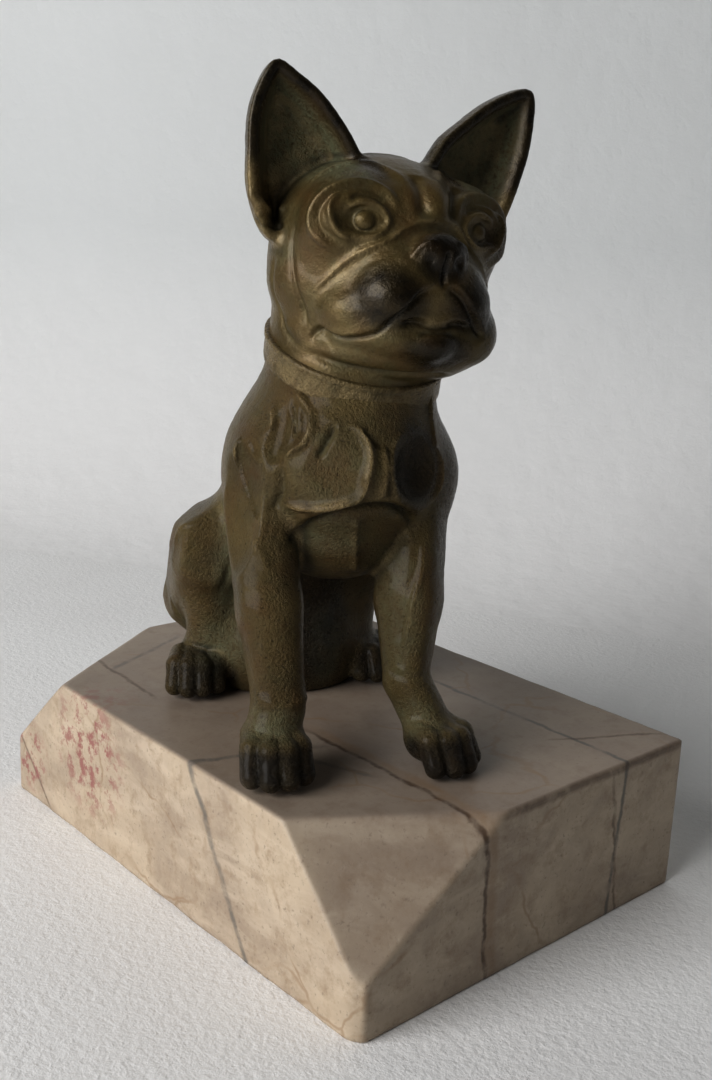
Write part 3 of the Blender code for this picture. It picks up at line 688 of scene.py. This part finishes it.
def head_lines():
    """The head's lines, in the dog's frame."""
    lines = both_sides(HEAD_PAIRED_LINES) + list(HEAD_SINGLE_LINES)
    return [(from_head(np.array(path, float)), width, height, step) for path, width, height, step in lines]


def body_lines():
    return list(BODY_LINES) + both_sides(HAUNCH_LINES, HIND_X)


# The collar and the parting between the castings --

def above_parting(p):
    """Height over the plane in which head and body part, under the collar."""
    normal = np.array(PARTING_NORMAL) / np.linalg.norm(PARTING_NORMAL)
    return (p - PARTING_CENTRE) @ normal


def head_casting(p):
    return np.maximum(head_form(p), PARTING_GAP - above_parting(p))


def body_casting(p):
    whole = np.maximum(body_form(p), above_parting(p) + PARTING_GAP)
    return np.maximum(whole, -p[:, 2])


def collar(p):
    """A flat strap that follows the neck, with a raised upper edge."""
    height = above_parting(p)
    skin_of_neck = neck(p)
    outer = skin_of_neck - COLLAR_PROUD
    lip = np.maximum(skin_of_neck - COLLAR_PROUD - 0.2, np.abs(height - COLLAR_HALF + 0.4) - 0.4)
    strap = overlap(outer, np.abs(height) - COLLAR_HALF, 0.25)
    strap = join(strap, lip, 0.25)
    return np.maximum(strap, -(skin_of_neck + 0.6))


# The block --

def block_planes():
    """The block's faces as (normal, distance from the middle), in millimetres."""
    half = (BLOCK_HIGH - BLOCK_LOW) / 2 / MM
    planes = [((1, 0, 0), half.x), ((-1, 0, 0), half.x), ((0, 1, 0), half.y), ((0, -1, 0), half.y),
              ((0, 0, 1), half.z), ((0, 0, -1), half.z)]
    flat_x, flat_y = CORNER_FLAT
    for side, along_x, along_y, foot in CORNER_CUTS:
        end = side * half.y
        a = Vector((along_x - half.x, end, half.z))
        b = Vector((-half.x, end - side * along_y, half.z))
        c = Vector((flat_x / 2 - half.x, end - side * flat_y / 2, foot - half.z))
        for normal, on in (((b - a).cross(c - a), a), (Vector((-flat_y, side * flat_x, 0)), c)):
            normal.normalize()
            outward = normal if normal.x < 0 else -normal
            planes.append((tuple(outward), outward.dot(on)))
    return planes


def stud_holes():
    """Where a stud rises through the block: x, y, radius of its hole and of the nut's recess."""
    holes = []
    for name in ("right_paw", "left_paw", "rump"):
        stud_low, stud_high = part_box("stud_" + name)
        washer_low, washer_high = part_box("washer_" + name)
        middle = (stud_low + stud_high) / 2
        hole = (stud_high.x - stud_low.x) / 2 / MM + STUD_PLAY
        recess = (washer_high.x - washer_low.x) / 2 / MM + STUD_PLAY
        holes.append((middle.x / MM, middle.y / MM, hole, recess))
    return holes


def ripple(p, size, seed):
    """A slow, seeded unevenness from -1 to 1: a few crossed waves."""
    rng = np.random.default_rng(seed)
    total = np.zeros(len(p))
    for _ in range(7):
        way = rng.normal(size=3)
        way *= rng.uniform(0.7, 1.6) * 2 * pi / size / np.linalg.norm(way)
        total += np.sin(p @ way + rng.uniform(0, 2 * pi))
    return total / 7


def waves(p, kinds):
    return sum(height * ripple(p, size, seed) for height, size, seed in kinds)


def block_form(p):
    wear = np.clip(EDGE_WEAR + waves(p, EDGE_WEAR_WAVES), *EDGE_WEAR_LIMITS)
    d = None
    for normal, reach in block_planes():
        face = p @ normal - reach
        d = face if d is None else overlap(d, face, wear)
    height = p[:, 2] + (BLOCK_HIGH.z - BLOCK_LOW.z) / 2 / MM
    for x, y, hole, recess in stud_holes():
        off_axis = np.hypot(p[:, 0] - x, p[:, 1] - y)
        d = np.maximum(d, hole - off_axis)
        d = np.maximum(d, np.minimum(recess - off_axis, RECESS_DEPTH - height))
    return d


# Meshes --

def dog_to_row(points):
    turn = np.array(Matrix.Rotation(DOG_TURN, 3, "Z"))
    return points @ turn.T * MM + np.array(DOG_PLACE)


def add_object(name, data):
    made = bpy.data.objects.new(name, data)
    bpy.context.scene.collection.objects.link(made)
    return made


def add_mesh(name, points, quads, masks):
    """A smooth mesh object, with its finish masks as attributes."""
    mesh = bpy.data.meshes.new(name)
    mesh.vertices.add(len(points))
    mesh.vertices.foreach_set("co", points.astype(np.float32).ravel())
    mesh.loops.add(quads.size)
    mesh.loops.foreach_set("vertex_index", quads.astype(np.int32).ravel())
    mesh.polygons.add(len(quads))
    mesh.polygons.foreach_set("loop_start", np.arange(0, quads.size, 4, dtype=np.int32))
    mesh.update(calc_edges=True)
    mesh.shade_smooth()
    for mask, values in masks.items():
        mesh.attributes.new(mask, "FLOAT", "POINT").data.foreach_set("value", values.astype(np.float32))
    return add_object(name, mesh)


def finish_piece(piece, material, slot, *nodes):
    piece.data.materials.append(material)
    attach(piece, "root")
    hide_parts(*nodes)


def cast(name, form, low, high, step, lines, paint, material, slot, *nodes):
    """Skin a form, press its lines, work out where its patina and painted shade lie, and place it."""
    points, quads = skin(form, low, high, step)
    normals = slope(form, points, step * 0.4)
    normals /= np.maximum(np.linalg.norm(normals, axis=1), 1e-6)[:, None]
    masks = paint(points)
    # The recess mask carries painted shade in creases, and the verdigris that gathers there.
    masks["recess"] = hidden(form, points, normals)
    masks["edge"] = sharpness(form, points, normals)
    points, rise = press(form, points, normals, lines)
    masks["recess"] = np.clip(masks["recess"] - np.minimum(rise, 0) * GROOVE_SHADE_AND_PATINA, 0, 1)
    # Raised beads are rubbed brighter: partly wear, partly a painted highlight.
    masks["edge"] = np.clip(masks["edge"] + np.maximum(rise - BEAD_RUB_AND_HIGHLIGHT_FROM, 0) * BEAD_RUB_AND_HIGHLIGHT, 0, 1)
    points = points + normals * waves(points, UNEVENNESS)[:, None]
    points[:, 2] = np.maximum(points[:, 2], 0)
    piece = add_mesh(name, dog_to_row(points), quads, masks)
    finish_piece(piece, material, slot, *nodes)


def hidden(form, points, normals):
    """How closed in the skin is, from 0 in the open to 1 in a crease. It darkens creases as painted
    shade, and draws verdigris into them.
    """
    near = 1 - np.clip(form(points + normals * 1.4) / 1.4, 0, 1)
    wide = 1 - np.clip(form(points + normals * 5) / 5, 0, 1)
    return np.clip(near * 1.1 + wide * 0.6, 0, 1)


def sharpness(form, points, normals):
    """How much the skin stands out as an edge or a tight round, from 0 to 1."""
    depth = form(points - normals * 1.2) / 1.2
    return np.clip((depth + 1) / 0.5, 0, 1)


# Where the patina and the painted shade lie --

def patches(p, spots):
    """The strongest patch at each point: full inside its ellipsoid, fading over its soft border."""
    strongest = np.zeros(len(p))
    for centre, radii, soft, strength in spots:
        reach = np.linalg.norm((p - centre) / np.array(radii), axis=1)
        strongest = np.maximum(strongest, (1 - ramp(1 - soft, 1 + soft, reach)) * strength)
    return strongest


def paint_head(p):
    """Dark pads, nose, chin and ear rims, verdigris in the ears, and painted shade on the lower left side.
    """
    h = in_head(p)
    dark = np.maximum(patches(mirrored(h), HEAD_PAIRED_DARK), patches(h, HEAD_DARK))
    green = np.zeros(len(p))
    for side, outline in ((-1, EAR_RIGHT), (1, EAR_LEFT)):
        q, inset = in_ear(h, side, ear_outline(outline))
        leaf = ramp(-1, 0.5, inset) * ramp(3, 5, h[:, 2])
        hollow = leaf * ramp(1.6, 3.4, inset) * (1 - ramp(4.5, 6, q[:, 1]))
        rim = leaf * (1 - ramp(1.4, 3, inset)) * (1 - ramp(2, 4, q[:, 1]))
        green = np.maximum(green, hollow * ramp(8, 13, h[:, 2]))
        dark = np.maximum(dark, rim * ramp(9, 14, h[:, 2]))
    # Painted shade on the head's left side, below the eyes.
    dark = np.maximum(dark, ramp(7, 14, h[:, 0]) * (1 - ramp(4, 9, h[:, 2])) * 0.5)
    return {"dark": dark, "green": green, "grain": np.maximum(0.25, green)}


def paint_body(p):
    """Dark paws, painted shade on the belly, the left chest hollow and the left side, and verdigris where
    dirt and damp stay.
    """
    # Painted shade under the chest and in the left chest hollow.
    dark = patches(p, BODY_SHADE)
    for leg in (RIGHT_LEG, LEFT_LEG):
        x, y, z = leg["paw"][0]
        dark = np.maximum(dark, patches(p, [((x, y - 3.2, z - 1), (7.6, 6.4, 4.6), 0.25, 1)]))
    m = mirrored(p - (HIND_X, 0, 0))
    x, y, z = HIND_PAW[0]
    dark = np.maximum(dark, patches(m, [((x, y - 2, z - 0.5), (6.6, 8, 5), 0.3, 0.9)]))
    # Painted shade on the dog's left side, from the elbows up.
    dark = np.maximum(dark, ramp(12, 18, p[:, 0]) * ramp(18, 40, p[:, 2]) * 0.6)
    return {"dark": dark, "green": patches(p, BODY_GREEN), "grain": np.ones(len(p))}


def paint_collar(p):
    return {mask: np.full(len(p), value) for mask, value in COLLAR_FINISH.items()}


# Materials --

class Nodes:
    """Short calls for building a material's nodes."""

    def __init__(self, name):
        self.material = bpy.data.materials.new(name)
        self.material.use_nodes = True
        self.tree = self.material.node_tree
        self.shader = self.tree.nodes["Principled BSDF"]

    def add(self, kind, inputs=(), **settings):
        node = self.tree.nodes.new("ShaderNode" + kind)
        for key, value in settings.items():
            setattr(node, key, value)
        for key, value in dict(inputs).items():
            self.put(node.inputs[key], value)
        return node

    def put(self, socket, value):
        if isinstance(value, bpy.types.NodeSocket):
            self.tree.links.new(value, socket)
        else:
            socket.default_value = value

    def where(self):
        return self.add("TexCoord").outputs["Object"]

    def noise(self, size, detail=3, rough=0.55, stretch=(1, 1, 1), warp=0):
        """Noise whose features are about size metres across."""
        mapping = self.add("Mapping", {"Vector": self.where(), "Scale": [s / size for s in stretch]})
        inputs = {"Vector": mapping.outputs[0], "Scale": 1, "Detail": detail, "Roughness": rough,
                  "Distortion": warp}
        return self.add("TexNoise", inputs).outputs["Fac"]

    def drift(self, size, reach):
        """A wandering offset of up to about reach metres."""
        mapping = self.add("Mapping", {"Vector": self.where(), "Scale": [1 / size] * 3})
        noise = self.add("TexNoise", {"Vector": mapping.outputs[0], "Scale": 1, "Detail": 3})
        centred = self.vector("SUBTRACT", {0: noise.outputs["Color"], 1: (0.5, 0.5, 0.5)})
        return self.vector("SCALE", {0: centred.outputs[0], "Scale": reach}).outputs[0]

    def away_from(self, centre):
        return self.vector("DISTANCE", {0: self.where(), 1: Vector(centre)}).outputs["Value"]

    def mask(self, name):
        return self.add("Attribute", attribute_name=name).outputs["Fac"]

    def math(self, operation, a, b=0, clamp=False):
        return self.add("Math", {0: a, 1: b}, operation=operation, use_clamp=clamp).outputs[0]

    def times(self, a, b, clamp=False):
        return self.math("MULTIPLY", a, b, clamp)

    def plus(self, a, b):
        return self.math("ADD", a, b)

    def minus(self, a, b, clamp=False):
        return self.math("SUBTRACT", a, b, clamp)

    def ramp(self, value, low, high, to_low=0, to_high=1):
        inputs = {"Value": value, "From Min": low, "From Max": high, "To Min": to_low, "To Max": to_high}
        return self.add("MapRange", inputs).outputs[0]

    def blend(self, factor, a, b, how="MIX"):
        """Mix two colours, given as linear RGB or as sockets."""
        mix = self.add("Mix", data_type="RGBA", blend_type=how, clamp_factor=True)
        sockets = {"Factor_Float": factor, "A_Color": a, "B_Color": b}
        for socket in mix.inputs:
            if socket.identifier in sockets:
                value = sockets[socket.identifier]
                self.put(socket, (*value, 1) if isinstance(value, tuple) and len(value) == 3 else value)
        return next(s for s in mix.outputs if s.identifier == "Result_Color")

    def vector(self, operation, inputs):
        return self.add("VectorMath", inputs, operation=operation)

    def give(self, inputs):
        """Set or link the shader's inputs."""
        for key, value in inputs.items():
            self.put(self.shader.inputs[key], value)
        return self.material

    def bump(self, height, strength, distance, normal=None):
        inputs = {"Height": height, "Strength": strength, "Distance": distance}
        if normal is not None:
            inputs["Normal"] = normal
        return self.add("Bump", inputs).outputs[0]


def bronze(name):
    """Olive-brown patina: grey-green in the hollows, painted shade near black in creases, near black
    where dark, which is dark patina and painted shade, and rubbed lighter on edges, partly as a
    painted highlight.
    """
    n = Nodes(name)
    cloud = n.noise(0.011, 4, 0.6)
    blotch = n.noise(0.0032, 4, 0.6)
    fine = n.noise(0.0006, 4, 0.65)
    grit = n.noise(0.00025, 2, 0.7)
    deep, pale = (tuple(share * c for c in BRONZE_TONE) for share in (0.75, 1.25))
    body = n.blend(n.ramp(cloud, 0.35, 0.65), deep, pale)
    warm = n.ramp(n.noise(0.007, 3, 0.5), 0.45, 0.7, 0, 0.55)
    colour = n.blend(warm, body, BRONZE_RUSSET)
    colour = n.blend(n.ramp(blotch, 0.5, 0.75, 0, 0.4), colour, BRONZE_OLIVE)
    recess = n.mask("recess")
    speck = n.ramp(n.plus(fine, n.times(blotch, 0.5)), 0.62, 0.95)
    green_here = n.plus(n.mask("green"), n.times(recess, 0.35))
    green = n.times(green_here, n.ramp(speck, 0, 0.7, 0.35, 1), True)
    colour = n.blend(n.times(green, 0.8), colour, VERDIGRIS)
    # Painted shade: creases and hollows darkened towards black.
    colour = n.blend(n.ramp(recess, 0.45, 1, 0, 0.6), colour, BRONZE_BLACK)
    # The dark mask is dark patina on pads, nose, paws and ear rims, and painted shade on the left side, the
    # belly and the left chest hollow.
    dark = n.times(n.mask("dark"), n.ramp(blotch, 0.3, 0.6, 0.75, 1), True)
    colour = n.blend(n.times(dark, 0.9), colour, BRONZE_BLACK)
    pits = n.ramp(fine, 0.3, 0.42, 1, 0)
    pits = n.times(pits, n.times(n.mask("grain"), 0.55))
    colour = n.blend(pits, colour, BRONZE_BLACK)
    # Rubbed lighter on edges and beads: partly wear, partly a painted highlight.
    rub_and_highlight = n.times(n.ramp(n.mask("edge"), 0.25, 0.9), n.ramp(blotch, 0.35, 0.6))
    rub_and_highlight = n.times(rub_and_highlight, n.minus(1, dark))
    colour = n.blend(n.times(rub_and_highlight, 0.45), colour, BRONZE_RUBBED_AND_HIGHLIT)
    rough = n.ramp(fine, 0.3, 0.7, 0.26, 0.42)
    rough = n.minus(n.plus(rough, n.times(green, 0.25)), n.times(dark, 0.14))
    rough = n.minus(rough, n.times(rub_and_highlight, 0.1), True)
    metal = n.minus(0.4, n.times(green, 0.3), True)
    grain = n.times(n.mask("grain"), n.plus(fine, n.times(grit, 0.4)))
    relief = n.bump(blotch, 0.15, 0.0003, n.bump(grain, 1, 0.00055))
    return n.give({"Base Color": colour, "Roughness": rough, "Metallic": metal, "Normal": relief,
                   "Coat Weight": 0.16, "Coat Roughness": 0.22, "Specular IOR Level": 0.3, "IOR": 1.5})


def vein(n, normal, offset, width, wander, centre, radius):
    """1 on a thin, wandering sheet through the stone, which shows as a vein on its faces. It
    fades out at radius from its centre."""
    warp = n.noise(0.01, 4, 0.6)
    small = n.noise(0.0022, 3, 0.6)
    direction = Vector(normal).normalized()
    along = n.vector("DOT_PRODUCT", {0: n.where(), 1: direction}).outputs["Value"]
    along = n.minus(along, offset / Vector(normal).length)
    for drift, reach in ((warp, wander), (small, wander * 0.22)):
        along = n.plus(along, n.times(n.minus(drift, 0.5), reach))
    line = n.ramp(n.math("ABSOLUTE", along), width * 0.3, width, 1, 0)
    line = n.times(line, n.ramp(n.noise(0.004, 3, 0.6, warp=0.3), 0.34, 0.52, 0.35, 1))
    return n.times(line, n.ramp(n.away_from(centre), radius * 0.75, radius, 1, 0))


def marble():
    n = Nodes("marble")
    cloud = n.noise(0.028, 5, 0.6, warp=0.8)
    streak = n.noise(0.009, 5, 0.65, (1, 0.5, 1.6), 0.6)
    fine = n.noise(0.0009, 3, 0.7)
    colour = n.blend(n.ramp(cloud, 0.38, 0.62), MARBLE_GREY, MARBLE_BEIGE)
    colour = n.blend(n.ramp(streak, 0.46, 0.66, 0, 0.55), colour, MARBLE_PALE)
    colour = n.blend(n.ramp(n.noise(0.005, 5, 0.7), 0.5, 0.68, 0, 0.6), colour, MARBLE_BROWN)
    colour = n.blend(n.ramp(n.noise(0.0008, 3, 0.6), 0.6, 0.72, 0, 0.45), colour, MARBLE_SPECK)
    colour = n.blend(n.ramp(fine, 0.35, 0.7, 0, 0.14), colour, MARBLE_PALE)
    # Painted shade: faces that look up are painted darker.
    upward = n.add("SeparateXYZ", {0: n.add("NewGeometry").outputs["Normal"]}).outputs["Z"]
    colour = n.blend(n.ramp(upward, 0.3, 0.95, 0, 0.6), colour, MARBLE_TOP_SHADE)
    for tint, strength, normal, offset, width, wander, (centre, radius) in MARBLE_VEINS:
        line = vein(n, normal, offset, width, wander, centre, radius)
        colour = n.blend(n.times(line, strength), colour, tint)
    warped = n.vector("ADD", {0: n.where(), 1: n.drift(0.012, 0.01)}).outputs[0]
    cells = n.add("TexVoronoi", {"Vector": warped, "Scale": 34}, feature="DISTANCE_TO_EDGE")
    cracks = n.ramp(cells.outputs["Distance"], 0.004, 0.016, 1, 0)
    cracks = n.times(cracks, n.ramp(n.noise(0.016, 3, 0.6), 0.45, 0.6))
    colour = n.blend(n.times(cracks, 0.55), colour, VEIN_TAN)
    spots = n.ramp(n.noise(0.003, 4, 0.7), 0.5, 0.6)
    for centre, radius in RED_SPOTS:
        patch = n.times(spots, n.ramp(n.away_from(centre), radius * 0.5, radius, 0.85, 0))
        colour = n.blend(patch, colour, MARBLE_RED)
    pits = n.ramp(n.noise(0.0007, 3, 0.6), 0.25, 0.4)
    return n.give({"Base Color": colour, "Roughness": n.ramp(streak, 0.3, 0.7, 0.38, 0.55),
                   "Specular IOR Level": 0.4, "Subsurface Weight": 0.06, "Subsurface Scale": 1,
                   "Subsurface Radius": (0.0015, 0.001, 0.0007), "Normal": n.bump(pits, 0.25, 0.00012)})


def steel():
    """Plain zinc-plated steel: turned rings, a little dulled and stained."""
    n = Nodes("fixing_steel")
    stain = n.noise(0.0025, 4, 0.6)
    colour = n.blend(n.ramp(stain, 0.4, 0.7), (0.42, 0.42, 0.41), (0.28, 0.25, 0.21))
    turning = n.noise(0.0004, 2, 0.5, (0.3, 0.3, 3))
    return n.give({"Base Color": colour, "Roughness": n.ramp(stain, 0.3, 0.7, 0.3, 0.55),
                   "Metallic": 1, "Normal": n.bump(turning, 0.3, 0.00005)})


def paper():
    n = Nodes("paper_floor")
    tone = n.ramp(n.noise(0.08, 4, 0.5), 0.35, 0.65)
    colour = n.blend(tone, (0.86, 0.85, 0.835), (0.9, 0.895, 0.88))
    tooth = n.plus(n.noise(0.0018, 4, 0.6), n.times(n.noise(0.0007, 2, 0.6), 0.4))
    return n.give({"Base Color": colour, "Roughness": 0.9, "Specular IOR Level": 0.2,
                   "Normal": n.bump(tooth, 0.55, 0.0005)})


def plaster():
    """A painted wall, clear from behind so that the dog's far side can be looked at too."""
    n = Nodes("plaster_wall")
    tone = n.ramp(n.noise(0.25, 4, 0.5), 0.35, 0.65)
    colour = n.blend(tone, (0.61, 0.62, 0.615), (0.65, 0.66, 0.655))
    height = n.add("SeparateXYZ", {0: n.where()}).outputs["Z"]
    colour = n.blend(n.ramp(height, 0, 0.12, 1, 0), colour, (0.88, 0.87, 0.855))
    lumps = n.bump(n.noise(0.012, 5, 0.55), 0.5, 0.0015)
    n.give({"Base Color": colour, "Roughness": 0.9, "Normal": lumps})
    behind = n.add("NewGeometry").outputs["Backfacing"]
    clear = n.add("BsdfTransparent").outputs[0]
    surface = n.add("MixShader", {0: behind, 1: n.shader.outputs[0], 2: clear}).outputs[0]
    n.put(n.tree.nodes["Material Output"].inputs["Surface"], surface)
    return n.material


# The stage, the light and the camera --

def build_stage():
    """White paper that the block stands on, and a plaster wall that it curves up into."""
    normal = Vector((sin(WALL_HEADING), -cos(WALL_HEADING), 0))
    side = Vector((-normal.y, normal.x, 0))
    foot = -normal * WALL_DISTANCE
    profile = [(3, 0), (WALL_CURVE, 0)]
    for step in range(1, 13):
        angle = step / 12 * pi / 2
        profile.append((WALL_CURVE * (1 - sin(angle)), WALL_CURVE * (1 - cos(angle))))
    profile.append((0, 3))
    rows = []
    for out, height in profile:
        middle = foot + normal * out + Vector((0, 0, height))
        rows.append([middle - side * 3, middle + side * 3])
    corners = [tuple(corner) for row in rows for corner in row]
    faces = [(k, k + 1, k + 3, k + 2) for k in range(0, len(corners) - 2, 2)]
    mesh = bpy.data.meshes.new("paper_and_wall")
    mesh.from_pydata(corners, [], faces)
    mesh.materials.append(paper())
    mesh.materials.append(plaster())
    for face in mesh.polygons[1:]:
        face.material_index = 1
    mesh.shade_smooth()
    add_object("paper_and_wall", mesh)


def build_camera():
    flat = cos(CAMERA_ELEVATION)
    back = Vector((sin(CAMERA_AZIMUTH) * flat, -cos(CAMERA_AZIMUTH) * flat, sin(CAMERA_ELEVATION)))
    right = Vector((cos(CAMERA_AZIMUTH), sin(CAMERA_AZIMUTH), 0))
    up = back.cross(right)
    rolled_right = right * cos(CAMERA_ROLL) + up * sin(CAMERA_ROLL)
    rolled_up = up * cos(CAMERA_ROLL) - right * sin(CAMERA_ROLL)
    data = bpy.data.cameras.new("camera")
    data.lens = CAMERA_LENS
    data.sensor_width = 36
    data.clip_start = 0.01
    camera = add_object("camera", data)
    turn = Matrix((rolled_right, rolled_up, back)).transposed().to_4x4()
    camera.matrix_world = Matrix.Translation(CAMERA_TARGET + back * CAMERA_DISTANCE) @ turn
    bpy.context.scene.camera = camera


def build_light():
    """A window to the dog's right, with the room's dim light round it."""
    data = bpy.data.lights.new("window", "AREA")
    data.shape = "RECTANGLE"
    data.size, data.size_y = WINDOW_SIZE
    data.energy = WINDOW_POWER
    data.color = WINDOW_COLOUR
    window = add_object("window", data)
    window.location = WINDOW_PLACE
    window.rotation_euler = (WINDOW_AIM - WINDOW_PLACE).to_track_quat("-Z", "Y").to_euler()
    world = bpy.data.worlds.new("room")
    world.use_nodes = True
    sky = world.node_tree.nodes["Background"]
    sky.inputs["Color"].default_value = (0.8, 0.84, 0.9, 1)
    sky.inputs["Strength"].default_value = ROOM_LIGHT
    bpy.context.scene.world = world
    view = bpy.context.scene.view_settings
    view.view_transform = "Standard"
    view.gamma = TONE_GAMMA


# Putting it together --

def build_castings():
    body_bronze = bronze("bronze_body")
    head_bronze = bronze("bronze_head")
    collar_bronze = bronze("bronze_collar")
    cast("bulldog_head", head_casting, (-24, -40, 58), (40, 10, 119), HEAD_STEP, head_lines(), paint_head,
         head_bronze, "bronze_head", "head_casting")
    cast("bulldog_body", body_casting, (-34, -46, -2), (34, 50, 78), BODY_STEP, body_lines(), paint_body,
         body_bronze, "bronze_body", "body_casting")
    cast("bulldog_collar", collar, (-18, -34, 54), (24, 10, 82), HEAD_STEP, (), paint_collar,
         collar_bronze, "bronze_collar", "collar_band")
    paint_plain("neck_pin", collar_bronze)


def paint_plain(name, material):
    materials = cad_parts[name].data.materials
    materials.clear()
    materials.append(material)


def build_block():
    middle = (BLOCK_LOW + BLOCK_HIGH) / 2
    half = (BLOCK_HIGH - BLOCK_LOW) / 2 / MM
    reach = half + Vector((1, 1, 1))
    points, quads = skin(block_form, -reach, reach, BLOCK_STEP)
    block = add_mesh("marble_block", points * MM + np.array(middle), quads, {})
    finish_piece(block, marble(), "marble", "marble_base")


def build_fixings():
    material = steel()
    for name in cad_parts:
        if name.split("_")[0] in ("stud", "washer", "nut"):
            paint_plain(name, material)


build_camera()
build_light()
build_stage()
build_castings()
build_block()
build_fixings()
